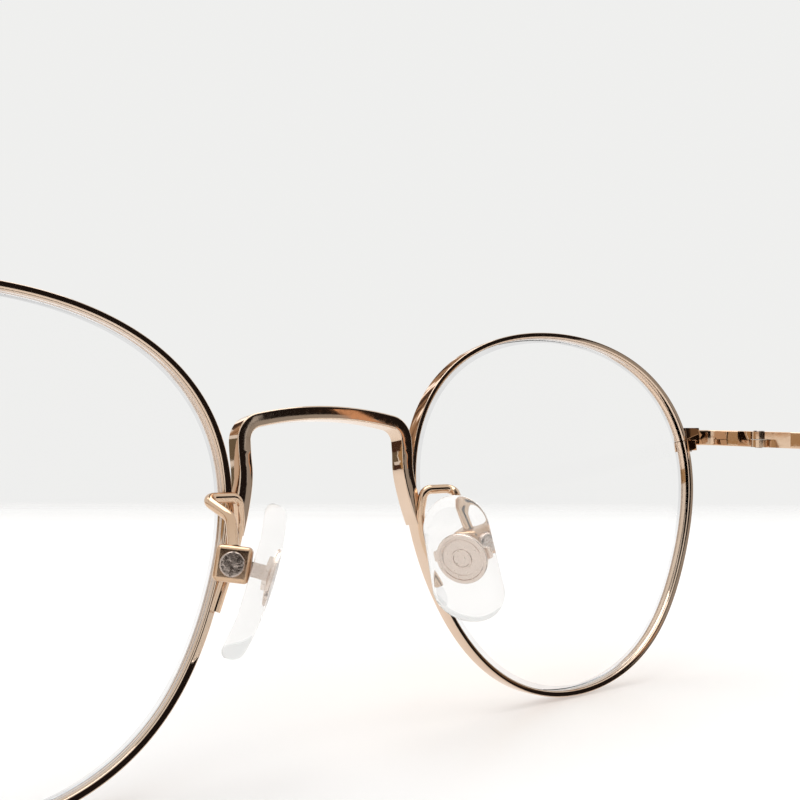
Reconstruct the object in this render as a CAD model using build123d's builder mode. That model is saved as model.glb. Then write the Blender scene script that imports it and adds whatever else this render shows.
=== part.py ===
"""Full-rim metal eyeglasses, size 47-22, standing open on their rims and temple tips.

Millimetres. +Z is up and z = 0 is the surface that the glasses stand on. The front faces -Y, the
temples point towards +Y, and the wearer's left is +X. x = 0 is the plane of symmetry, so every
left-hand piece is built once and mirrored for the right.
"""
from build123d import *
from math import cos, radians, sin, tau
import os

# ---- the front ------------------------------------------------------------------------------
LENS_SPACING = 69.0          # between the two lens centres: 47 mm lenses and a 22 mm bridge
LENS_CENTRE_HEIGHT = 22.83   # lens centres above the table
FRONT_Y = -68.50             # lens plane, from the middle of the whole footprint
FRONT_TILT = 7.0             # the front leans forward at its top, degrees
WRAP = 2.85                  # each lens is turned back at its temple side, degrees
BASE_RADIUS = 130.0          # spherical base curve of the lenses and the rims

# ---- lens outline: mean radius, and (order, cosine part, sine part) of its departures from round
OUTLINE_RADIUS = 22.36
OUTLINE_WAVES = ((2, 0.59, 0.36), (3, 0.14, 0.86), (4, -0.19, 0.0), (5, 0.0, 0.16))
OUTLINE_POINTS = 36

# ---- rim wire and lens; depths are counted forwards from the rear face of the rim
RIM_WIDTH = 0.73
RIM_DEPTH = 1.9
RIM_ROUNDING = 0.34
GROOVE_DEPTH = 0.42
GROOVE_REAR = 0.75
GROOVE_FRONT = 1.4
LENS_REAR = 0.12
LENS_FRONT = 2.1
LENS_GAP = 0.03

# ---- rim lock at the temple side, in the lens's own axes: sideways (u), up (v), forwards (w)
BLOCK_BOTTOM = 6.15
BLOCK_TOP = 9.3
RIM_SPLIT = 7.6
SPLIT_GAP = 0.1
BLOCK_INSIDE = 22.9
BLOCK_OUTSIDE = 25.4
BLOCK_REAR = -2.4
BLOCK_FRONT = 0.15
LOCK_U = 24.5
LOCK_W = -1.25
LOCK_SHANK = 0.38
LOCK_HEAD = 0.62

# ---- hinge and temple
HINGE_X = 61.4               # hinge axis, sideways
HINGE_BACK = 11.2            # hinge axis, behind the lens plane
HINGE_RISE = 8.09            # hinge centre above the lens centres
TEMPLE_DROP = 1.5            # the open temple slopes down to its tip, degrees
STRIP_HEIGHT = 2.14
STRIP_THICKNESS = 1.1
STRIP_INSIDE = 62.5          # inner face of the endpiece's arm and of the temple
BUTT_GAP = 0.04
BARREL_RADIUS = 1.05
BORE_RADIUS = 0.50
PIN_RADIUS = 0.45
TIER_GAP = 0.06
PLATE_THICKNESS = 0.5
HEAD_RADIUS = 0.72
HEAD_SEAT = 0.78             # underside of the hinge screw's head above the hinge's middle

# ---- temple and tip, measured along the temple from the hinge axis
TAPER_START = 18.0
TIP_START = 76.0
BEND_START = 90.0
BEND_RADIUS = 15.0
BEND_ANGLE = 38.0
CORE_HEIGHT = 1.3
TIP_THICKNESS = 2.6
TIP_HALF_START = 1.45        # half height of the tip where it starts
TIP_HALF_END = 2.75          # half height of the tip at its rounded end

# ---- bridge, on the tilted front
BRIDGE_TOP = 10.65           # middle of the strip above the lens centres
BRIDGE_RADIUS = 39.0
BRIDGE_LEG = 9.88            # middle of each leg from the plane of symmetry
BRIDGE_CORNER = 2.1
BRIDGE_THICKNESS = 1.4
BRIDGE_DEPTH = 2.15
BRIDGE_REAR = 2.0            # rear face behind the lens plane
BRIDGE_ROUNDING = 0.16

# ---- nose pads
PAD_SPLAY = 30.0             # pads open towards the wearer, degrees
PAD_CANT = 20.0              # pads lean outwards at their lower ends, degrees
BOX_CANT = 11.0              # the boxes lean less than the pads
PAD_PIVOT = (13.95, 6.55, -3.8)   # pad screw's middle on the front: sideways, back, up
PAD_FACE = 3.85              # from the pad screw to the nose side of the pad
PAD_THICKNESS = 1.9
PAD_CURVE = 28.0
PAD_TOP_RADIUS = 3.55
PAD_LOW_RADIUS = 3.85
PAD_REACH = 3.32             # from the pad's middle to the centre of each end radius
PAD_OFFSET = (0.3, -0.78)    # the pad's middle forwards of its screw, and above it
CORE_RADIUS = 2.45
CORE_FACE = 3.66
WIRE_RADIUS = 0.5
BOX_SIZE = 3.2
BOX_LENGTH = 2.7             # along the pad screw
BOX_ROUNDING = 0.45
PAD_SCREW_RADIUS = 0.5
PAD_SCREW_HEAD = 1.12

# ---- planes -----------------------------------------------------------------------------------
TILT = radians(FRONT_TILT)
DROP = radians(TEMPLE_DROP)
FRONT = Plane(
    origin=(0, FRONT_Y, LENS_CENTRE_HEIGHT), x_dir=(1, 0, 0), z_dir=(0, -cos(TILT), -sin(TILT))
)
LENS = Plane(FRONT.location * Location((LENS_SPACING / 2, 0, 0), (0, WRAP, 0)))
HINGE_HEIGHT = LENS_CENTRE_HEIGHT + HINGE_RISE
HINGE_Y = FRONT_Y + HINGE_BACK
HINGE = Plane(
    origin=(HINGE_X, HINGE_Y, HINGE_HEIGHT), x_dir=(1, 0, 0), z_dir=(0, sin(DROP), cos(DROP))
)
SIDE = Plane(
    origin=(STRIP_INSIDE, HINGE_Y, HINGE_HEIGHT), x_dir=(0, cos(DROP), -sin(DROP)), z_dir=(1, 0, 0)
)


def on_front(sideways, back, up):
    """Point on the tilted front, from the middle of the line between the lens centres."""
    return FRONT.from_local_coords(Vector(sideways, up, -back))


def pad_plane(cant):
    """Plane through the pad screw: x points forwards along the screw, y up, z to the nose."""
    splay = radians(PAD_SPLAY)
    lean = radians(cant)
    centre = on_front(*PAD_PIVOT)
    forwards = on_front(-sin(splay), -cos(splay), 0) - on_front(0, 0, 0)
    to_nose = on_front(-cos(lean) * cos(splay), cos(lean) * sin(splay), -sin(lean))
    return Plane(origin=centre, x_dir=forwards, z_dir=to_nose - on_front(0, 0, 0))


PAD = pad_plane(PAD_CANT)
BOX = pad_plane(BOX_CANT)


# ---- shared shapes ------------------------------------------------------------------------------
def outline(grow):
    """Points of the lens outline, moved outwards by grow. Angle 0 is the temple side."""
    points = []
    for i in range(OUTLINE_POINTS):
        angle = tau * i / OUTLINE_POINTS
        radius = OUTLINE_RADIUS + grow
        for order, cosine, sine in OUTLINE_WAVES:
            radius += cosine * cos(order * angle) + sine * sin(order * angle)
        points.append((radius * cos(angle), radius * sin(angle)))
    return points


def outline_slab(grow, rear, front):
    """Disc of the lens outline between two spheres that share the base curve's centre."""
    with BuildPart(LENS) as slab:
        with BuildSketch(LENS.offset(-8)):
            with BuildLine():
                Spline(*outline(grow), periodic=True)
            make_face()
        extrude(amount=14)
        with Locations((0, 0, -BASE_RADIUS)):
            Sphere(BASE_RADIUS + front, rotation=(90, 0, 0), mode=Mode.INTERSECT)
            Sphere(BASE_RADIUS + rear, rotation=(90, 0, 0), mode=Mode.SUBTRACT)
    return slab.part


def lens_block(u_range, v_range, w_range, rounding):
    """Block between limits given in the lens's own axes, with its four upright edges rounded."""
    base = LENS.from_local_coords(Vector(0, v_range[0], 0))
    middle = (sum(u_range) / 2, -sum(w_range) / 2)
    with BuildPart() as block:
        with BuildSketch(Plane(origin=base, x_dir=LENS.x_dir, z_dir=LENS.y_dir)):
            with Locations(middle):
                RectangleRounded(u_range[1] - u_range[0], w_range[1] - w_range[0], rounding)
        extrude(amount=v_range[1] - v_range[0])
    return block.part


def finish_pair(piece, name):
    """Write the left-hand piece and its mirror image."""
    piece.part.label = name + "_left"
    export_step(piece.part, "parts/" + name + "_left.step")
    with BuildPart() as twin:
        mirror(piece.part, about=Plane.YZ)
    twin.part.label = name + "_right"
    export_step(twin.part, "parts/" + name + "_right.step")


os.makedirs("parts", exist_ok=True)

# ---- rim: a grooved wire, cut through at the rim lock --------------------------------------------
groove = outline_slab(GROOVE_DEPTH, GROOVE_REAR, GROOVE_FRONT)
rim_blank = outline_slab(RIM_WIDTH, 0, RIM_DEPTH)
rim_room = outline_slab(RIM_WIDTH + 0.02, -0.02, RIM_DEPTH + 0.02)
rim_cut = lens_block(
    (15, 30), (RIM_SPLIT - SPLIT_GAP / 2, RIM_SPLIT + SPLIT_GAP / 2), (-8, 4), SPLIT_GAP
)

with BuildPart() as rim:
    add(rim_blank)
    fillet(rim.edges(), radius=RIM_ROUNDING)
    with BuildSketch(LENS.offset(-8)):
        with BuildLine():
            Spline(*outline(0), periodic=True)
        make_face()
    extrude(amount=14, mode=Mode.SUBTRACT)
    add(groove, mode=Mode.SUBTRACT)
    add(rim_cut, mode=Mode.SUBTRACT)
finish_pair(rim, "rim")

# ---- lens: a meniscus with a tongue that sits in the rim's groove --------------------------
lens_body = outline_slab(-LENS_GAP, LENS_REAR, LENS_FRONT)
lens_tongue = outline_slab(GROOVE_DEPTH - LENS_GAP, GROOVE_REAR + LENS_GAP, GROOVE_FRONT - LENS_GAP)

with BuildPart() as lens:
    add(lens_body)
    add(lens_tongue)
finish_pair(lens, "lens")

# ---- rim lock: a lower block, an upper block that the endpiece carries, and the screw between them
lens_space = outline_slab(LENS_GAP, -6, 6)
upper_v = (RIM_SPLIT + SPLIT_GAP / 2, BLOCK_TOP)
lower_v = (BLOCK_BOTTOM, RIM_SPLIT - SPLIT_GAP / 2)
upper_block = lens_block((BLOCK_INSIDE, 26.4), upper_v, (BLOCK_REAR, BLOCK_FRONT), 0.4)
lower_block = lens_block((BLOCK_INSIDE, BLOCK_OUTSIDE), lower_v, (BLOCK_REAR, BLOCK_FRONT), 0.4)
LOCK = Plane(LENS.location * Location((LOCK_U, BLOCK_BOTTOM, LOCK_W), (-90, 0, 0)))

with BuildPart() as closing_block:
    add(lower_block)
    add(rim_blank, mode=Mode.SUBTRACT)
    add(lens_space, mode=Mode.SUBTRACT)
    with BuildSketch(LOCK):
        Circle(LOCK_SHANK + 0.08)
    extrude(amount=10, mode=Mode.SUBTRACT)
    with BuildSketch(LOCK):
        Circle(LOCK_HEAD + 0.05)
    extrude(amount=0.35, mode=Mode.SUBTRACT)
finish_pair(closing_block, "closing_block")

with BuildPart() as rim_screw:
    with BuildSketch(LOCK.offset(-0.15)):
        Circle(LOCK_HEAD)
    extrude(amount=0.5)
    fillet(rim_screw.edges().sort_by(Axis.Z)[0], radius=0.1)
    with BuildSketch(LOCK.offset(-0.15)):
        Rectangle(3, 0.25)
    extrude(amount=0.22, mode=Mode.SUBTRACT)
    with BuildSketch(LOCK.offset(0.35)):
        Circle(LOCK_SHANK)
    extrude(amount=2.3)
finish_pair(rim_screw, "rim_screw")

# ---- endpiece: the upper lock block, and the arm that turns back to the hinge ----------------------
with BuildPart() as endpiece:
    with BuildSketch(HINGE.offset(-STRIP_HEIGHT / 2)):
        with BuildLine():
            outside = STRIP_INSIDE + STRIP_THICKNESS - HINGE_X
            inside = STRIP_INSIDE - HINGE_X
            FilletPolyline(
                (-1.1, -11.05), (outside, -11.05), (outside, -BUTT_GAP), radius=2.6
            )
            Polyline((outside, -BUTT_GAP), (inside, -BUTT_GAP))
            FilletPolyline((inside, -BUTT_GAP), (inside, -8.5), (-1.1, -8.5), radius=1.1)
            Line((-1.1, -8.5), (-1.1, -11.05))
        make_face()
    extrude(amount=STRIP_HEIGHT)
    fillet(endpiece.edges().filter_by(Axis((0, 0, 0), HINGE.z_dir), reverse=True), radius=0.18)
    add(upper_block)
    add(rim_blank, mode=Mode.SUBTRACT)
    add(lens_space, mode=Mode.SUBTRACT)
    with BuildSketch(LOCK):
        Circle(LOCK_SHANK + 0.03)
    extrude(amount=2.75, mode=Mode.SUBTRACT)
finish_pair(endpiece, "endpiece")


# ---- hinge: a lower front knuckle, a washer, an upper temple knuckle, and the screw -----------------
def knuckle(direction, low, high):
    """One hinge half. direction is -1 for the endpiece's half and +1 for the temple's."""
    face = STRIP_INSIDE - HINGE_X
    near = direction * (BARREL_RADIUS + 0.1)
    far = direction * 2.7
    ramp = direction * 3.9
    with BuildPart() as half:
        with BuildSketch(HINGE.offset(low)):
            Circle(BARREL_RADIUS)
            with BuildLine():
                Polyline(
                    (-0.3, 0), (face, 0), (face, far), (face - PLATE_THICKNESS, far),
                    (-0.3, direction * 0.9), close=True
                )
            make_face()
        extrude(amount=high - low)
        with BuildSketch(HINGE.offset(-STRIP_HEIGHT / 2 + 0.04)):
            with BuildLine():
                Polyline(
                    (face, near), (face - PLATE_THICKNESS, near), (face - PLATE_THICKNESS, far),
                    (face, ramp), close=True
                )
            make_face()
        extrude(amount=STRIP_HEIGHT - 0.08)
        with BuildSketch(HINGE.offset(low)):
            Circle(BORE_RADIUS)
        extrude(amount=high - low, mode=Mode.SUBTRACT)
        if direction > 0:
            with BuildSketch(HINGE.offset(HEAD_SEAT - 0.02)):
                Circle(HEAD_RADIUS + 0.05)
            extrude(amount=1, mode=Mode.SUBTRACT)
    return half


hinge_front = knuckle(-1, 0.04 - STRIP_HEIGHT / 2, -TIER_GAP)
finish_pair(hinge_front, "hinge_front")
hinge_temple = knuckle(1, TIER_GAP, STRIP_HEIGHT / 2 - 0.04)
finish_pair(hinge_temple, "hinge_temple")

with BuildPart() as hinge_washer:
    with BuildSketch(HINGE.offset(0.01 - TIER_GAP)):
        Circle(BARREL_RADIUS - 0.05)
        Circle(BORE_RADIUS, mode=Mode.SUBTRACT)
    extrude(amount=2 * TIER_GAP - 0.02)
finish_pair(hinge_washer, "hinge_washer")

with BuildPart() as hinge_screw:
    with BuildSketch(HINGE.offset(-STRIP_HEIGHT / 2 - 0.05)):
        Circle(PIN_RADIUS)
    extrude(amount=STRIP_HEIGHT / 2 + 0.05 + HEAD_SEAT)
    with BuildSketch(HINGE.offset(HEAD_SEAT)):
        Circle(HEAD_RADIUS)
    extrude(amount=0.4)
    fillet(hinge_screw.edges().sort_by(Axis.Z)[-1], radius=0.12)
    with BuildSketch(HINGE.offset(HEAD_SEAT + 0.22)):
        Rectangle(3, 0.22)
    extrude(amount=0.3, mode=Mode.SUBTRACT)
finish_pair(hinge_screw, "hinge_screw")


# ---- temple: a flat strip that tapers to the core of the tip ----------------------------------------
TURN = radians(BEND_ANGLE)
BEND_END = BEND_START + BEND_RADIUS * TURN
TIP_CLEARANCE = HINGE_HEIGHT - TIP_HALF_END - 0.065


def along_temple(distance, above=0.0):
    """Point in the side plane at a distance along the temple's middle line, and above it."""
    angle = min(max((distance - BEND_START) / BEND_RADIUS, 0.0), TURN)
    straight = min(distance, BEND_START)
    rest = max(distance - BEND_END, 0.0)
    along = straight + BEND_RADIUS * sin(angle) + rest * cos(angle) + above * sin(angle)
    up = BEND_RADIUS * (cos(angle) - 1) - rest * sin(angle) + above * cos(angle)
    return (along, up)


# The tip's rounded end touches the table, which gives the length of its last straight stretch.
bend_y, bend_z = along_temple(BEND_END)
fallen = bend_y * sin(DROP) - bend_z * cos(DROP)
TIP_LAST = (TIP_CLEARANCE - fallen) / sin(TURN + DROP)
TIP_END = BEND_END + TIP_LAST

with BuildPart() as temple:
    half = STRIP_HEIGHT / 2
    core = CORE_HEIGHT / 2
    with BuildSketch(SIDE):
        with BuildLine():
            Polyline(
                (BUTT_GAP, half), (TAPER_START, half), (TIP_START, core), (TIP_START, -core),
                (TAPER_START, -half), (BUTT_GAP, -half), close=True
            )
        make_face()
        with BuildLine():
            Polyline(along_temple(TIP_START - 1), along_temple(BEND_START))
            RadiusArc(along_temple(BEND_START), along_temple(BEND_END), BEND_RADIUS)
            Line(along_temple(BEND_END), along_temple(TIP_END - 6))
        trace(line_width=CORE_HEIGHT)
    extrude(amount=STRIP_THICKNESS)
    flat_edges = temple.edges().filter_by(Axis.X, reverse=True)
    fillet(flat_edges.filter_by(lambda edge: edge.length > 5), radius=0.16)
finish_pair(temple, "temple")


# ---- temple tip: an acetate sleeve over the core, wider towards its rounded end ---------------------
def tip_half(distance):
    """Half height of the tip at a distance along the temple."""
    share = (distance - TIP_START) / (TIP_END - TIP_START)
    return TIP_HALF_START + (TIP_HALF_END - TIP_HALF_START) * share**1.6


TIP_STATIONS = [TIP_START + (TIP_END - TIP_START) * i / 9 for i in range(10)]
tip_top = [along_temple(d, tip_half(d)) for d in TIP_STATIONS]
tip_bottom = [along_temple(d, -tip_half(d)) for d in TIP_STATIONS]

with BuildPart() as temple_tip:
    with BuildSketch(SIDE.offset(STRIP_THICKNESS / 2 - TIP_THICKNESS / 2)):
        with BuildLine():
            upper = Spline(*tip_top)
            lower = Spline(*tip_bottom)
            round_end = TangentArc(upper @ 1, lower @ 1, tangent=upper % 1)
            Line(lower @ 0, upper @ 0)
        make_face()
    extrude(amount=TIP_THICKNESS)
    fillet(temple_tip.edges().filter_by(lambda edge: edge.length > 5), radius=0.8)
    add(temple.part, mode=Mode.SUBTRACT)
finish_pair(temple_tip, "temple_tip")

# ---- bridge: one flat strip, arched over the nose, whose legs end on the rims -----------------------
arch_end = BRIDGE_TOP - BRIDGE_LEG**2 / (2 * BRIDGE_RADIUS)

with BuildPart() as bridge:
    with BuildSketch(FRONT.offset(-BRIDGE_REAR)):
        with BuildLine() as strip_line:
            ThreePointArc((-BRIDGE_LEG, arch_end), (0, BRIDGE_TOP), (BRIDGE_LEG, arch_end))
            for side in (-1, 1):
                Line((side * BRIDGE_LEG, arch_end), (side * BRIDGE_LEG, 6.8))
            fillet(strip_line.vertices().group_by(Axis.Y)[-1], radius=BRIDGE_CORNER)
            for side in (-1, 1):
                Spline(
                    (side * BRIDGE_LEG, 6.8), (side * 9.8, 4.8), (side * 10.2, 2.0),
                    (side * 11.1, -1.2), tangents=((0, -1), (side * 0.35, -1))
                )
        trace(line_width=BRIDGE_THICKNESS)
    extrude(amount=BRIDGE_DEPTH)
    fillet(bridge.edges().filter_by(lambda edge: edge.length > 2.3), radius=BRIDGE_ROUNDING)
    add(rim_blank, mode=Mode.SUBTRACT)
    mirror(rim_blank, about=Plane.YZ, mode=Mode.SUBTRACT)
bridge.part.label = "bridge"
export_step(bridge.part, "parts/bridge.step")

# ---- nose pad box: a cup that holds the pad's tang, with the screw through its two cheeks -----------
with BuildPart() as pad_box:
    with BuildSketch(BOX.offset(-BOX_SIZE / 2)):
        Rectangle(BOX_LENGTH, BOX_SIZE)
    extrude(amount=BOX_SIZE)
    fillet(pad_box.edges(), radius=BOX_ROUNDING)
    with BuildSketch(BOX.offset(-1.15)):
        Rectangle(1.1, 2.5)
    extrude(amount=4, mode=Mode.SUBTRACT)
    with BuildSketch(Plane(origin=BOX.origin, x_dir=BOX.y_dir, z_dir=BOX.x_dir)):
        Circle(PAD_SCREW_RADIUS + 0.05)
    extrude(amount=3, both=True, mode=Mode.SUBTRACT)
finish_pair(pad_box, "pad_box")

# ---- pad arm: one wire, soldered along the rim, looped back and down into the top of the box --------
BOX_ROOF = BOX.from_local_coords(Vector(0, BOX_SIZE / 2 - 0.12, -0.2))
ARM_ROUTE = [
    on_front(13.5, 1.42, -8.15), on_front(11.5, 1.6, -3.2), on_front(10.85, 2.05, -0.3),
    on_front(11.2, 2.65, 2.25), on_front(14.95, 3.2, 2.25), on_front(13.55, 5.7, 0.3), BOX_ROOF,
]
ARM_BENDS = [8.0, 4.0, 0.95, 0.8, 1.6]
with BuildPart() as pad_arm:
    with BuildLine() as arm_line:
        FilletPolyline(*ARM_ROUTE, radius=ARM_BENDS)
    with BuildSketch(Plane(origin=arm_line.line @ 0, z_dir=arm_line.line % 0)):
        Circle(WIRE_RADIUS)
    sweep(path=arm_line.line)
    add(rim_room, mode=Mode.SUBTRACT)
    add(bridge.part, mode=Mode.SUBTRACT)
    add(pad_box.part, mode=Mode.SUBTRACT)
finish_pair(pad_arm, "pad_arm")

# ---- pad screw -----------------------------------------------------------------------------------------
REAR_FACE = Plane(
    origin=BOX.from_local_coords(Vector(-BOX_LENGTH / 2, 0, 0)), x_dir=BOX.y_dir, z_dir=-BOX.x_dir
)
with BuildPart() as pad_screw:
    with BuildSketch(REAR_FACE.offset(-BOX_LENGTH)):
        Circle(PAD_SCREW_RADIUS)
    extrude(amount=BOX_LENGTH)
    with BuildSketch(REAR_FACE):
        Circle(PAD_SCREW_HEAD)
    extrude(amount=0.34)
    fillet(pad_screw.edges().sort_by(Axis(REAR_FACE.origin, REAR_FACE.z_dir))[-1], radius=0.18)
    with BuildSketch(REAR_FACE.offset(0.16)):
        Rectangle(3, 0.26)
    extrude(amount=0.3, mode=Mode.SUBTRACT)
finish_pair(pad_screw, "pad_screw")

# ---- pad core: a metal disc with two wings and the tang that turns on the pad screw -----------------
with BuildPart() as pad_core:
    with BuildSketch(PAD.offset(CORE_FACE - 0.45)):
        Circle(CORE_RADIUS)
    extrude(amount=0.45)
    with BuildSketch(PAD.offset(CORE_FACE - 0.8)):
        with BuildLine():
            Polyline((-3.1, 0.5), (0, 1.5), (3.1, 0.5), (3.1, -0.5), (0, -1.5), (-3.1, -0.5), close=True)
        make_face()
    extrude(amount=0.36)
    with BuildSketch(Plane(origin=PAD.origin, x_dir=PAD.z_dir, z_dir=PAD.x_dir).offset(-0.45)):
        Circle(0.8)
        with Locations((1.45, 0)):
            Rectangle(2.9, 1.3)
        Circle(PAD_SCREW_RADIUS + 0.05, mode=Mode.SUBTRACT)
    extrude(amount=0.9)
    with BuildSketch(PAD.offset(CORE_FACE - 0.12)):
        Circle(CORE_RADIUS - 0.35)
        Circle(0.75, mode=Mode.SUBTRACT)
    extrude(amount=0.2, mode=Mode.SUBTRACT)
finish_pair(pad_core, "pad_core")

# ---- nose pad: clear silicone, bowed towards the nose, moulded round the core ------------------------
PAD_MIDDLE = Plane(origin=PAD.from_local_coords(Vector(*PAD_OFFSET, 0)), x_dir=PAD.x_dir, z_dir=PAD.z_dir)
with BuildPart(PAD_MIDDLE) as pad_slab:
    with BuildSketch(PAD_MIDDLE):
        with Locations((0, -PAD_REACH)):
            Circle(PAD_LOW_RADIUS)
        with Locations((0, PAD_REACH)):
            Circle(PAD_TOP_RADIUS)
        make_hull()
    extrude(amount=PAD_FACE + 1)
    with Locations((0, 0, PAD_FACE - PAD_CURVE)):
        Cylinder(PAD_CURVE, 30, rotation=(0, 90, 0), mode=Mode.INTERSECT)
        Cylinder(PAD_CURVE - PAD_THICKNESS, 40, rotation=(0, 90, 0), mode=Mode.SUBTRACT)
    fillet(pad_slab.edges().filter_by(lambda edge: edge.length > PAD_THICKNESS + 0.2), radius=0.7)

with BuildPart() as nose_pad:
    add(pad_slab.part)
    add(pad_core.part, mode=Mode.SUBTRACT)
finish_pair(nose_pad, "nose_pad")
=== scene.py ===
"""Looks for the rose-gold eyeglasses: smooth rims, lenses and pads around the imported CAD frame.

Blender objects are in metres, in the CAD's own frame. mm() turns millimetres into metres. Sections,
profiles and outlines are plain millimetres until lens_point() or a place() turns them into points.
"""
from math import asin, cos, pi, radians, sin, sqrt, tau

import bmesh
import bpy
from mathutils import Matrix, Vector


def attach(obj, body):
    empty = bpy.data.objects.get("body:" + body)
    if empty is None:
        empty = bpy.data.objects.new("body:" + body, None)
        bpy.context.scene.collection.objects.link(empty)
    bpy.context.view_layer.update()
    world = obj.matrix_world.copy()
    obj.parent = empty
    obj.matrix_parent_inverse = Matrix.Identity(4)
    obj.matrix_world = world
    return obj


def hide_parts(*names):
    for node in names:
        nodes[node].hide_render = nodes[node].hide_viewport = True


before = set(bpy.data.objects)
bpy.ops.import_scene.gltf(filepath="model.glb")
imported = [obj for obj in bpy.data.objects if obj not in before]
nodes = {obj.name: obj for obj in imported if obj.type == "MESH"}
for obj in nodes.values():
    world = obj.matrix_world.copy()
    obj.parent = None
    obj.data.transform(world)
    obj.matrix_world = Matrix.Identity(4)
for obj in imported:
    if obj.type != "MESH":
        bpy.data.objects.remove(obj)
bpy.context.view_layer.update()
scene = bpy.context.scene


def mm(value):
    return value * 0.001


# ---- the front's own measures, as in the CAD -----------------------------------------------------
LENS_SPACING = mm(69.0)
LENS_CENTRE = Vector((0, mm(-68.50), mm(22.83)))
FRONT_TILT = radians(7.0)
WRAP = radians(2.85)
BASE_RADIUS = mm(130.0)
OUTLINE_RADIUS = 22.36
OUTLINE_WAVES = ((2, 0.59, 0.36), (3, 0.14, 0.86), (4, -0.19, 0.0), (5, 0.0, 0.16))
RIM_WIDTH = 0.73
RIM_DEPTH = 1.9
RIM_SPLIT = 7.6
RIM_SPLIT_ANGLE = radians(19)
SPLIT_GAP = 0.1
LENS_REAR = 0.12
LENS_FRONT = 2.1

PAD_SPLAY = radians(30.0)
PAD_CANT = radians(20.0)
PAD_PIVOT = (13.95, 6.55, -3.8)
PAD_CURVE = 28.0
PAD_TOP_RADIUS = 3.55
PAD_LOW_RADIUS = 3.85
PAD_REACH = 3.32
PAD_SLOPE = asin((PAD_LOW_RADIUS - PAD_TOP_RADIUS) / (2 * PAD_REACH))
PAD_OFFSET = (0.3, -0.78)
PAD_FACE = 3.95
PAD_THICKNESS = 2.0
PAD_ROUNDING = 0.85

SIDES = {"left": 1, "right": -1}

# ---- measures of the visual pieces alone ---------------------------------------------------------
ROUND_STEPS = 288
RIM_SCALE = 0.955            # narrows the wire, so that its tight corners stay in the CAD's box
RIM_OUTER_ROUNDING = 0.11
RIM_INNER_ROUNDING = 0.20
RIM_FRONT_ROUNDING = 0.30
CORNER_STEPS = 6
RIM_SHARP = 50               # degrees between faces from which an edge is shaded as sharp
LENS_SHARP = 25
CORE_SHARP = 28
NODE_SHARP = 32
WELD_DISTANCE = mm(0.0005)

LENS_SHARES = (0.25, 0.5, 0.75, 0.92)       # rings of a lens face, as shares of its outline
LENS_EDGE = (                               # (beyond the outline, forward of the rear sphere)
    (-0.58, LENS_REAR), (-0.54, LENS_REAR + 0.02), (-0.30, LENS_REAR + 0.22),
    (-0.03, LENS_REAR + 0.46), (-0.03, 0.78), (0.39, 1.0), (0.39, 1.14), (-0.03, 1.37),
    (-0.03, LENS_FRONT - 0.25), (-0.12, LENS_FRONT - 0.05), (-0.28, LENS_FRONT),
)
CLEAR_BEVEL = 2                             # bands at the front of the edge that stay polished

PAD_STEPS = 144
PAD_TURNS = 12
PAD_SHARES = (0.25, 0.5, 0.75)
JUST_PAST = 1e-6                            # starts the outline on its upper circle

CORE_STEPS = 96
CORE_FACE = 3.70
CORE_SCALE = 1.07
CORE_DROP = 0.28
CORE_BACK = 0.42
CORE_HOLLOW = 0.12
CORE_PROFILE = (                            # (radius, height over the face), from the back edge in
    (2.52, -CORE_BACK), (2.56, -0.36), (2.56, -0.08), (2.50, 0.0), (2.20, 0.0), (2.14, -0.11),
    (2.02, -0.10), (1.98, -0.03), (1.92, -0.03), (1.88, -CORE_HOLLOW), (1.02, -CORE_HOLLOW),
    (0.97, -0.02), (0.84, -0.02), (0.79, -CORE_HOLLOW), (0.50, -CORE_HOLLOW), (0.45, -0.03),
    (0.30, -0.03), (0.25, -CORE_HOLLOW),
)

# ---- frames --------------------------------------------------------------------------------------
FRONT = Matrix.Translation(LENS_CENTRE) @ Matrix.Rotation(FRONT_TILT, 4, "X")


def lens_frame():
    """Left lens: x to the temple, y to the back, z up, from the apex of its rear sphere."""
    return FRONT @ Matrix.Translation((LENS_SPACING / 2, 0, 0)) @ Matrix.Rotation(WRAP, 4, "Z")


def on_front(sideways, back, up):
    """Point of the tilted front, from millimetres."""
    return FRONT @ Vector((mm(sideways), mm(back), mm(up)))


def pad_frame():
    """Left pad: x forwards along its screw, y up, z to the nose."""
    centre = on_front(*PAD_PIVOT)
    x_axis = on_front(-sin(PAD_SPLAY), -cos(PAD_SPLAY), 0) - on_front(0, 0, 0)
    z_axis = on_front(
        -cos(PAD_CANT) * cos(PAD_SPLAY), cos(PAD_CANT) * sin(PAD_SPLAY), -sin(PAD_CANT)
    ) - on_front(0, 0, 0)
    x_axis.normalize()
    z_axis.normalize()
    y_axis = z_axis.cross(x_axis)
    turn = Matrix((x_axis, y_axis, z_axis)).transposed().to_4x4()
    return Matrix.Translation(centre) @ turn


LENS = lens_frame()
PAD = pad_frame()


# ---- mesh helpers --------------------------------------------------------------------------------
def mesh_object(name, points, faces, materials, face_slots=None, side=1, sharp=None):
    """New mesh object. side = -1 mirrors a left-hand mesh for the right."""
    mesh = bpy.data.meshes.new(name)
    mesh.from_pydata([(side * p.x, p.y, p.z) for p in points], [], faces)
    obj = bpy.data.objects.new(name, mesh)
    scene.collection.objects.link(obj)
    for material in materials:
        mesh.materials.append(material)
    if face_slots:
        mesh.polygons.foreach_set("material_index", face_slots)
    work = bmesh.new()
    work.from_mesh(mesh)
    bmesh.ops.recalc_face_normals(work, faces=work.faces)
    work.to_mesh(mesh)
    work.free()
    mesh.shade_smooth()
    if sharp is not None:
        mesh.set_sharp_from_angle(angle=radians(sharp))
    return obj


def bar_faces(count, size):
    """Faces of a bar with flat ends, from count sections of size points."""
    faces = []
    for i in range(count - 1):
        a = i * size
        b = a + size
        for k in range(size):
            n = (k + 1) % size
            faces.append((a + k, a + n, b + n, b + k))
    faces.append(tuple(range(size)))
    faces.append(tuple(range((count - 1) * size, count * size)))
    return faces


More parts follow.
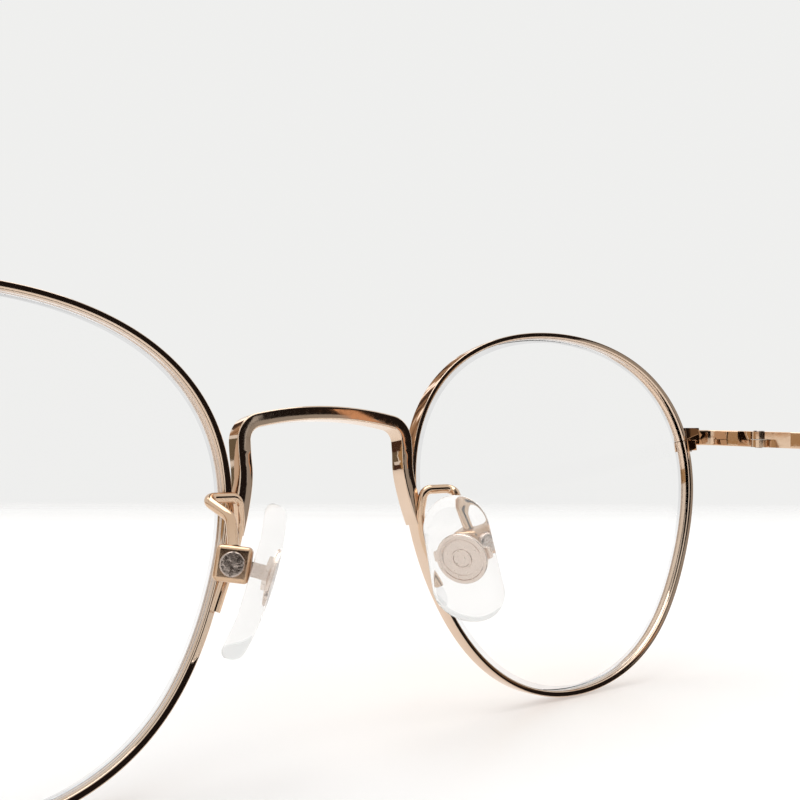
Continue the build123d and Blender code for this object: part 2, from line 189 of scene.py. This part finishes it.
def spoke_faces(count, size):
    """Faces of a round form, from count spokes of size points and then its two poles.

    Each spoke runs from the first pole over the edge to the second.
    """
    pole = count * size
    faces = []
    for i in range(count):
        a = i * size
        b = (i + 1) % count * size
        faces.append((pole, a, b))
        faces += [(a + k, a + k + 1, b + k + 1, b + k) for k in range(size - 1)]
        faces.append((a + size - 1, pole + 1, b + size - 1))
    return faces


def outline_radius(angle):
    """Radius of the lens opening in the rim, in millimetres."""
    radius = OUTLINE_RADIUS
    for order, cosine, sine in OUTLINE_WAVES:
        radius += cosine * cos(order * angle) + sine * sin(order * angle)
    return radius


def lens_point(angle, radius, forward):
    """Point at a radius, and forward of the rear sphere, both in millimetres."""
    r = mm(radius)
    depth = sqrt((BASE_RADIUS + mm(forward)) ** 2 - r * r) - BASE_RADIUS
    return LENS @ Vector((r * cos(angle), -depth, r * sin(angle)))


# ---- materials -----------------------------------------------------------------------------------
class Surface:
    """A Principled material whose nodes are added by small named steps."""

    def __init__(self, name, colour, roughness, metallic=0.0, **values):
        self.material = bpy.data.materials.new(name)
        self.material.use_nodes = True
        self.tree = self.material.node_tree
        self.shader = self.tree.nodes["Principled BSDF"]
        self.set("Base Color", (*colour, 1))
        self.set("Roughness", roughness)
        self.set("Metallic", metallic)
        for socket, value in values.items():
            self.set(socket.replace("_", " "), value)
        self.coordinates = self.tree.nodes.new("ShaderNodeTexCoord").outputs["Object"]
        self.normal = None

    def set(self, socket, value):
        self.shader.inputs[socket].default_value = value

    def link(self, output, socket):
        self.tree.links.new(output, self.shader.inputs[socket])

    def noise(self, per_mm, detail=3.0, stretch=None):
        """Noise with about this many features in a millimetre. stretch scales it along x, y, z."""
        source = self.coordinates
        if stretch:
            mapping = self.tree.nodes.new("ShaderNodeMapping")
            mapping.inputs["Scale"].default_value = stretch
            self.tree.links.new(source, mapping.inputs["Vector"])
            source = mapping.outputs["Vector"]
        texture = self.tree.nodes.new("ShaderNodeTexNoise")
        texture.inputs["Scale"].default_value = per_mm * 1000
        texture.inputs["Detail"].default_value = detail
        self.tree.links.new(source, texture.inputs["Vector"])
        return texture.outputs["Fac"]

    def measure(self, operation, vector):
        """One number from the place on the surface and a fixed vector."""
        node = self.tree.nodes.new("ShaderNodeVectorMath")
        node.operation = operation
        node.inputs[1].default_value = vector
        self.tree.links.new(self.coordinates, node.inputs[0])
        return node.outputs["Value"]

    def along(self, direction):
        """Distance in metres along a direction."""
        return self.measure("DOT_PRODUCT", direction)

    def away(self, place):
        """Distance in metres from a place."""
        return self.measure("DISTANCE", place)

    def ramp(self, factor, stops):
        """Colour ramp from (position, colour) stops."""
        node = self.tree.nodes.new("ShaderNodeValToRGB")
        ramp = node.color_ramp
        while len(ramp.elements) < len(stops):
            ramp.elements.new(0.5)
        for element, (position, colour) in zip(ramp.elements, stops):
            element.position = position
            element.color = (*colour, 1)
        self.tree.links.new(factor, node.inputs["Fac"])
        return node.outputs["Color"]

    def spread(self, factor, low, high, start=0.3, stop=0.7):
        """Map start to stop, which suit a noise, onto low to high."""
        node = self.tree.nodes.new("ShaderNodeMapRange")
        node.inputs["From Min"].default_value = start
        node.inputs["From Max"].default_value = stop
        node.inputs["To Min"].default_value = low
        node.inputs["To Max"].default_value = high
        self.tree.links.new(factor, node.inputs["Value"])
        return node.outputs["Result"]

    def bump(self, factor, microns, strength=1.0):
        """Relief from a noise, on top of any relief that is there already."""
        node = self.tree.nodes.new("ShaderNodeBump")
        node.inputs["Distance"].default_value = microns * 1e-6
        node.inputs["Strength"].default_value = strength
        self.tree.links.new(factor, node.inputs["Height"])
        if self.normal:
            self.tree.links.new(self.normal, node.inputs["Normal"])
        self.normal = node.outputs["Normal"]
        self.link(self.normal, "Normal")


def rose_gold(name, low, high, dark=(0.71, 0.54, 0.405), light=(0.76, 0.60, 0.475)):
    """Rose-gold plating of a roughness from low to high.

    It has faint cloudy tone, handling haze, slight ripple and hairline scratches.
    """
    metal = Surface(name, light, low, metallic=1.0)
    metal.link(metal.ramp(metal.noise(0.12, 4), ((0.3, dark), (0.7, light))), "Base Color")
    metal.link(metal.spread(metal.noise(1.6, 5), low, high), "Roughness")
    metal.bump(metal.noise(0.3, 2), 8, 0.3)
    metal.bump(metal.noise(9.0, 6, stretch=(0.12, 1.0, 1.0)), 0.5, 0.15)
    return metal.material


def screw_metal():
    """Darker steel of the screws, with rough, uneven faces."""
    metal = Surface("screw_steel", (0.52, 0.44, 0.39), 0.24, metallic=1.0)
    metal.link(metal.spread(metal.noise(3.0, 4), 0.18, 0.34), "Roughness")
    metal.bump(metal.noise(2.2, 3), 90, 0.8)
    return metal.material


def pad_metal():
    """Pale champagne plating of the cores inside the pads."""
    metal = Surface("pad_core_plating", (0.80, 0.68, 0.60), 0.22, metallic=1.0)
    metal.link(metal.spread(metal.noise(2.0, 4), 0.16, 0.3), "Roughness")
    metal.bump(metal.noise(6.0, 3), 2, 0.3)
    return metal.material


def lens_glass():
    """Clear plastic lens with a faint unevenness in its polish."""
    glass = Surface("lens_clear", (1.0, 1.0, 1.0), 0.0, Transmission_Weight=1.0, IOR=1.14)
    glass.bump(glass.noise(0.03, 1), 1, 0.1)
    return glass.material


def ground_edge():
    """Greyer, slightly cloudy edge that the lens grinder leaves."""
    edge = Surface(
        "lens_ground_edge", (0.74, 0.74, 0.75), 0.05, Transmission_Weight=1.0, IOR=1.06
    )
    stops = ((0.3, (0.71, 0.71, 0.72)), (0.7, (0.78, 0.78, 0.79)))
    edge.link(edge.ramp(edge.noise(0.4, 1), stops), "Base Color")
    return edge.material


def silicone():
    """Clear silicone of the nose pads, a little cloudy."""
    rubber = Surface(
        "pad_silicone", (1.0, 1.0, 0.995), 0.1, Transmission_Weight=0.86, IOR=1.14
    )
    rubber.link(rubber.spread(rubber.noise(0.8, 4), 0.06, 0.16), "Roughness")
    rubber.bump(rubber.noise(0.5, 3), 8, 0.3)
    return rubber.material


def acetate():
    """Brown tortoise acetate of the tips: amber and dark cloudy patches under a clear gloss."""
    plastic = Surface(
        "acetate_brown", (0.16, 0.07, 0.03), 0.14, Coat_Weight=0.6, Coat_Roughness=0.05, IOR=1.5
    )
    stops = (
        (0.36, (0.045, 0.018, 0.010)), (0.52, (0.17, 0.070, 0.028)), (0.68, (0.38, 0.19, 0.075)),
    )
    plastic.link(plastic.ramp(plastic.noise(0.13, 6), stops), "Base Color")
    plastic.link(plastic.spread(plastic.noise(1.0, 4), 0.10, 0.22), "Roughness")
    plastic.bump(plastic.noise(0.4, 2), 10, 0.2)
    return plastic.material


def nylon():
    """Off-white nylon of the hinge washers."""
    plastic = Surface("washer_nylon", (0.72, 0.70, 0.66), 0.5)
    plastic.bump(plastic.noise(6.0, 4), 5, 0.5)
    return plastic.material


GOLD = rose_gold("rose_gold_plating", 0.03, 0.08)
DEEP = rose_gold("rose_gold_deep", 0.03, 0.08, (0.66, 0.46, 0.31), (0.73, 0.54, 0.39))
SATIN = rose_gold("rose_gold_satin", 0.19, 0.26, (0.62, 0.41, 0.26), (0.70, 0.49, 0.33))
SCREW = screw_metal()
CORE = pad_metal()
GLASS = lens_glass()
EDGE = ground_edge()
SILICONE = silicone()
ACETATE = acetate()
NYLON = nylon()


# ---- rims ----------------------------------------------------------------------------------------
def rim_section():
    """Closed section of the rim wire: x outwards, y forwards, with its own radius at each corner."""
    corners = (
        (RIM_WIDTH, 0, RIM_OUTER_ROUNDING, -pi / 2), (RIM_WIDTH, RIM_DEPTH, RIM_FRONT_ROUNDING, 0),
        (0, RIM_DEPTH, RIM_FRONT_ROUNDING, pi / 2), (0, 0, RIM_INNER_ROUNDING, pi),
    )
    points = []
    for x, y, radius, start in corners:
        cx = x - radius if x else radius
        cy = y - radius if y else radius
        for i in range(CORNER_STEPS + 1):
            a = start + pi / 2 * i / CORNER_STEPS
            points.append((RIM_SCALE * (cx + radius * cos(a)), cy + radius * sin(a)))
    return points


def build_rim(side_name):
    """Rim wire: a rounded bar round the lens, open at the rim lock by the width of the split."""
    section = rim_section()
    split = asin(RIM_SPLIT / (outline_radius(RIM_SPLIT_ANGLE) + RIM_WIDTH / 2))
    half_gap = SPLIT_GAP / 2 / outline_radius(split)
    points = []
    for i in range(ROUND_STEPS):
        angle = split + half_gap + (tau - 2 * half_gap) * i / (ROUND_STEPS - 1)
        radius = outline_radius(angle)
        points += [lens_point(angle, radius + grow, forward) for grow, forward in section]
    faces = bar_faces(ROUND_STEPS, len(section))
    name = f"rim_wire_{side_name}"
    rim = mesh_object(name, points, faces, [GOLD], side=SIDES[side_name], sharp=RIM_SHARP)
    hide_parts(f"rim_{side_name}")
    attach(rim, "front")


# ---- lenses --------------------------------------------------------------------------------------
def build_lens(side_name):
    """Lens: clear faces between two spheres, and a ground bevel and tongue round the edge."""
    points = []
    for i in range(ROUND_STEPS):
        angle = tau * i / ROUND_STEPS
        radius = outline_radius(angle)
        points += [lens_point(angle, radius * share, LENS_REAR) for share in LENS_SHARES]
        points += [lens_point(angle, radius + grow, forward) for grow, forward in LENS_EDGE]
        points += [lens_point(angle, radius * share, LENS_FRONT) for share in LENS_SHARES[::-1]]
    points += [lens_point(0, 0, LENS_REAR), lens_point(0, 0, LENS_FRONT)]
    size = 2 * len(LENS_SHARES) + len(LENS_EDGE)
    clear, ground = len(LENS_SHARES) + 1, len(LENS_EDGE) - CLEAR_BEVEL
    slots = ([0] * clear + [1] * ground + [0] * (size + 1 - clear - ground)) * ROUND_STEPS
    faces = spoke_faces(ROUND_STEPS, size)
    name = f"lens_glass_{side_name}"
    side = SIDES[side_name]
    lens = mesh_object(name, points, faces, [GLASS, EDGE], slots, side, sharp=LENS_SHARP)
    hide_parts(f"lens_{side_name}")
    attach(lens, "front")


# ---- nose pads -----------------------------------------------------------------------------------
def pad_outline(angle, inset):
    """Outline of the pad, moved inwards: the hull of a smaller upper and a larger lower circle."""
    upper = PAD_SLOPE < angle < pi - PAD_SLOPE
    radius = (PAD_TOP_RADIUS if upper else PAD_LOW_RADIUS) - inset
    centre = PAD_REACH if upper else -PAD_REACH
    return (radius * cos(angle), centre + radius * sin(angle))


def build_pad(side_name):
    """Pad: a bowed cushion with round edges, clear right through, that holds the metal core."""
    half = PAD_THICKNESS / 2
    flat = half - PAD_ROUNDING
    edge = []
    for i in range(PAD_TURNS + 1):
        a = pi / 2 - pi * i / PAD_TURNS
        level = PAD_ROUNDING * sin(a) + (flat if a > 0 else -flat if a < 0 else 0)
        edge.append((PAD_ROUNDING * (1 - cos(a)), level))

    def place(x, y, level):
        bow = y * y / (2 * PAD_CURVE)
        return PAD @ Vector(
            (mm(x + PAD_OFFSET[0]), mm(y + PAD_OFFSET[1]), mm(PAD_FACE - half - bow + level))
        )

    points = []
    for i in range(PAD_STEPS):
        angle = (PAD_SLOPE + JUST_PAST + tau * i / PAD_STEPS) % tau
        inner_x, inner_y = pad_outline(angle, PAD_ROUNDING)
        points += [place(inner_x * share, inner_y * share, half) for share in PAD_SHARES]
        for inset, level in edge:
            x, y = pad_outline(angle, inset)
            points.append(place(x, y, level))
        points += [place(inner_x * share, inner_y * share, -half) for share in PAD_SHARES[::-1]]
    points += [place(0, 0, half), place(0, 0, -half)]
    faces = spoke_faces(PAD_STEPS, len(edge) + 2 * len(PAD_SHARES))
    name = f"silicone_pad_{side_name}"
    pad = mesh_object(name, points, faces, [SILICONE], side=SIDES[side_name])
    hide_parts(f"nose_pad_{side_name}")
    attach(pad, f"pad_{side_name}_body")


def build_core_face(side_name):
    """Face of the pad's core: a turned disc with a raised rim and plain concentric rings."""

    def place(x, y, height):
        return PAD @ Vector((mm(x), mm(y - CORE_DROP), mm(CORE_FACE + height)))

    points = []
    for i in range(CORE_STEPS):
        a = tau * i / CORE_STEPS
        for radius, height in CORE_PROFILE:
            points.append(place(CORE_SCALE * radius * cos(a), CORE_SCALE * radius * sin(a), height))
    points += [place(0, 0, -CORE_BACK), place(0, 0, -CORE_HOLLOW)]
    faces = spoke_faces(CORE_STEPS, len(CORE_PROFILE))
    name = f"core_face_{side_name}"
    disc = mesh_object(name, points, faces, [CORE], side=SIDES[side_name], sharp=CORE_SHARP)
    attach(disc, f"pad_{side_name}_body")


# ---- CAD nodes that keep their shape -------------------------------------------------------------
def refine(node, material, body):
    """Copy of a CAD node with joined vertices and smooth shading between its sharp edges."""
    mesh = nodes[node].data.copy()
    work = bmesh.new()
    work.from_mesh(mesh)
    bmesh.ops.remove_doubles(work, verts=work.verts, dist=WELD_DISTANCE)
    work.to_mesh(mesh)
    work.free()
    if mesh.attributes.get("custom_normal"):
        mesh.attributes.remove(mesh.attributes["custom_normal"])
    mesh.shade_smooth()
    mesh.set_sharp_from_angle(angle=radians(NODE_SHARP))
    mesh.materials.clear()
    mesh.materials.append(material)
    piece = bpy.data.objects.new(node + "_finish", mesh)
    scene.collection.objects.link(piece)
    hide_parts(node)
    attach(piece, body)


KEPT = (
    ("endpiece", DEEP, "rose_gold", "front"),
    ("closing_block", DEEP, "rose_gold", "front"),
    ("rim_screw", SCREW, "screw_steel", "front"),
    ("hinge_front", DEEP, "rose_gold", "front"),
    ("hinge_temple", DEEP, "rose_gold", "temple_{}_body"),
    ("hinge_screw", SCREW, "screw_steel", "front"),
    ("hinge_washer", NYLON, "washer_nylon", "front"),
    ("temple", DEEP, "rose_gold", "temple_{}_body"),
    ("temple_tip", ACETATE, "acetate", "temple_{}_body"),
    ("pad_arm", DEEP, "rose_gold", "front"),
    ("pad_box", SATIN, "rose_gold", "front"),
    ("pad_screw", SCREW, "screw_steel", "front"),
    ("pad_core", CORE, "pad_metal", "pad_{}_body"),
)

refine("bridge", GOLD, "front")
for side_name in SIDES:
    build_rim(side_name)
    build_lens(side_name)
    build_pad(side_name)
    build_core_face(side_name)
    for node, material, slot, body in KEPT:
        refine(f"{node}_{side_name}", material, body.format(side_name))

# ---- stage measures ------------------------------------------------------------------------------
CAMERA_PLACE = Vector((mm(51.57), mm(13.28), mm(31.14)))
CAMERA_TURN = radians(143.18)
CAMERA_PITCH = radians(2.28)
CAMERA_ROLL = radians(0.16)
CAMERA_LENS = 41.63
AHEAD = Vector((-sin(CAMERA_TURN), cos(CAMERA_TURN), 0))
ACROSS = Vector((-AHEAD.y, AHEAD.x, 0))

TABLE_FADE = 0.300           # from the camera to where the table starts to fade into the wall
TABLE_EDGE = 0.440           # from the camera to the table's far edge
TABLE_HALF_WIDTH = 2.0
TABLE_HALF_LENGTH = 1.0
TABLE_LEVEL = -0.00002       # just under the rims, so that nothing lies in its plane
# painted light: the next colour stands for gold light that the right rim reflects onto the table; it
# fades out from the place after it, between the start and stop distances
PAINTED_GLOW_COLOUR = (0.62, 0.56, 0.51)
TABLE_WHITE = (0.62, 0.62, 0.62)
PAINTED_GLOW_PLACE = (-0.034, -0.074, 0)
PAINTED_GLOW_START = 0.004
PAINTED_GLOW_STOP = 0.042

ROOM_Y = 0.620               # plane of the dark room's end
CARD_Y = 0.615               # plane of the cards in front of it

REAR_CARDS = (               # name, plane, x from and to, z from and to, colour
    ("room_dark", ROOM_Y, (-1.50, 0.80), (-0.03, 0.59), (0.015, 0.011, 0.010)),
    ("card_temporal", CARD_Y, (-0.56, -0.36), (-0.02, 0.155), (0.37, 0.35, 0.33)),
    ("card_temporal_upper", CARD_Y, (-0.50, -0.36), (0.155, 0.205), (0.37, 0.35, 0.33)),
    ("card_endpiece", CARD_Y, (-0.92, -0.78), (0.15, 0.24), (0.17, 0.105, 0.06)),
    ("card_hinge", CARD_Y, (-1.15, -0.85), (-0.02, 0.08), (0.30, 0.19, 0.11)),
)
PATCHES = (                  # name, origin in mm, heading in degrees, distance, level, width,
                             # height, colour, whether it shows through a lens
    ("card_tan", (-5, -66), 124.9, 0.80, 0.21, 0.026, 0.10, (0.75, 0.40, 0.22), False),
    ("card_grey", (9, -66), 118.4, 0.74, 0.20, 0.016, 0.10, (0.5, 0.5, 0.5), False),
    ("card_leg_right", (-9.3, -68), -53.6, 0.40, 0.014, 0.085, 0.027, (0.07, 0.035, 0.022), False),
    ("card_leg_left", (9.9, -68), -66, 0.40, 0.030, 0.130, 0.075, (0.17, 0.14, 0.095), False),
    ("card_upper", (0, -65), -48, 0.70, 0.42, 0.80, 0.50, (0.42, 0.27, 0.165), False),
    ("card_arch", (0, -65), -92, 0.70, 0.66, 1.1, 0.82, (0.42, 0.27, 0.165), False),
    ("card_temple", (-62.5, -55), -30, 0.50, 0.038, 0.34, 0.074, (0.46, 0.31, 0.165), True),
)
STREAKED = ("card_upper", "card_arch")
STREAKS = (
    (0.36, (0.07, 0.04, 0.028)), (0.46, (0.36, 0.22, 0.13)), (0.58, (0.48, 0.33, 0.22)),
    (0.64, (1.6, 1.5, 1.45)),
)
STREAK_STRETCH = (1.0, 1.0, 0.45)

WALL_COLOUR = (0.865, 0.865, 0.855)
LIGHT_PLACE = Vector((0.0, -0.25, 0.9))
LIGHT_AIM = Vector((0, -0.05, 0))
LIGHT_SIZE = (0.9, 0.7)
LIGHT_POWER = 4.0


# ---- stage: a white table in a pale room, with cards that the metal reflects ---------------------
def stage_panel(name, centre, u_axis, v_axis, material):
    """Flat rectangle for the stage, from its middle and two half sides."""
    corners = [
        centre - u_axis - v_axis, centre + u_axis - v_axis, centre + u_axis + v_axis,
        centre - u_axis + v_axis,
    ]
    panel = mesh_object(name, corners, [(0, 1, 2, 3)], [material])
    return panel


def card(name, centre, half_width, half_height, colour, streaks=None, through_lens=False):
    """Black card with an even light of its own, or one in streaks.

    It shows in reflections only, or in those seen through a lens too.
    """
    surface = Surface(
        name, (0, 0, 0), 1.0, Specular_IOR_Level=0.0, Emission_Color=(*colour, 1),
        Emission_Strength=1.0,
    )
    if streaks:
        noise = surface.noise(0.011, 2, stretch=STREAK_STRETCH)
        surface.link(surface.ramp(noise, streaks), "Emission Color")
    panel = stage_panel(name, centre, half_width, half_height, surface.material)
    panel.visible_camera = False
    panel.visible_transmission = through_lens


def rear_card(name, y, x_range, z_range, colour):
    """Upright card behind the glasses, across the camera's back."""
    centre = Vector((sum(x_range) / 2, y, sum(z_range) / 2))
    half_width = Vector(((x_range[1] - x_range[0]) / 2, 0, 0))
    half_height = Vector((0, 0, (z_range[1] - z_range[0]) / 2))
    card(name, centre, half_width, half_height, colour)


def patch(name, origin, heading, distance, level, width, height, colour, through_lens):
    """Upright card that the metal reflects, square to a heading from a point of the glasses."""
    line = Vector((cos(radians(heading)), sin(radians(heading)), 0))
    centre = Vector((mm(origin[0]), mm(origin[1]), 0)) + line * distance
    centre.z = level
    half_width = Vector((-line.y, line.x, 0)) * width / 2
    half_height = Vector((0, 0, height / 2))
    streaks = STREAKS if name in STREAKED else None
    card(name, centre, half_width, half_height, colour, streaks, through_lens)


def build_table():
    """White table with a painted glow of gold light, reflected from the rim, under the right lens;
    it fades out at its far edge.
    """
    table = Surface(
        "table_white", (0.62, 0.62, 0.615), 0.35, Emission_Color=(1.0, 1.0, 1.0, 1),
        Emission_Strength=0.37,
    )
    table.link(table.spread(table.noise(0.02, 3), 0.3, 0.42), "Roughness")
    # painted reflected light: a gold tint from the right rim, strongest at its place and gone by the
    # stop distance
    painted_glow = table.spread(table.away(PAINTED_GLOW_PLACE), 0, 1, PAINTED_GLOW_START, PAINTED_GLOW_STOP)
    table.link(table.ramp(painted_glow, ((0.0, PAINTED_GLOW_COLOUR), (1.0, TABLE_WHITE))), "Base Color")
    camera_at = AHEAD.dot(CAMERA_PLACE)
    fade = table.spread(table.along(AHEAD), 1, 0, camera_at + TABLE_FADE, camera_at + TABLE_EDGE)
    table.link(fade, "Alpha")
    centre = CAMERA_PLACE + AHEAD * (TABLE_EDGE - TABLE_HALF_LENGTH)
    centre.z = TABLE_LEVEL
    half_width = ACROSS * TABLE_HALF_WIDTH
    stage_panel("table_top", centre, half_width, AHEAD * TABLE_HALF_LENGTH, table.material)


build_table()
for row in REAR_CARDS:
    rear_card(*row)
for row in PATCHES:
    patch(*row)

world = bpy.data.worlds.new("studio")
scene.world = world
world.use_nodes = True
background = world.node_tree.nodes["Background"]
background.inputs["Color"].default_value = (*WALL_COLOUR, 1)
background.inputs["Strength"].default_value = 1.0

light = bpy.data.lights.new("overhead", "AREA")
light.shape = "RECTANGLE"
light.size, light.size_y = LIGHT_SIZE
light.energy = LIGHT_POWER
lamp = bpy.data.objects.new("overhead", light)
scene.collection.objects.link(lamp)
lamp.location = LIGHT_PLACE
lamp.rotation_euler = (LIGHT_AIM - LIGHT_PLACE).to_track_quat("-Z", "Y").to_euler()

camera_data = bpy.data.cameras.new("camera")
camera_data.lens = CAMERA_LENS
camera_data.sensor_width = 36
camera_data.clip_start = 0.002
camera = bpy.data.objects.new("camera", camera_data)
scene.collection.objects.link(camera)
camera.matrix_world = (
    Matrix.Translation(CAMERA_PLACE)
    @ Matrix.Rotation(CAMERA_TURN, 4, "Z")
    @ Matrix.Rotation(pi / 2 + CAMERA_PITCH, 4, "X")
    @ Matrix.Rotation(CAMERA_ROLL, 4, "Z")
)
scene.camera = camera
scene.view_settings.view_transform = "Standard"
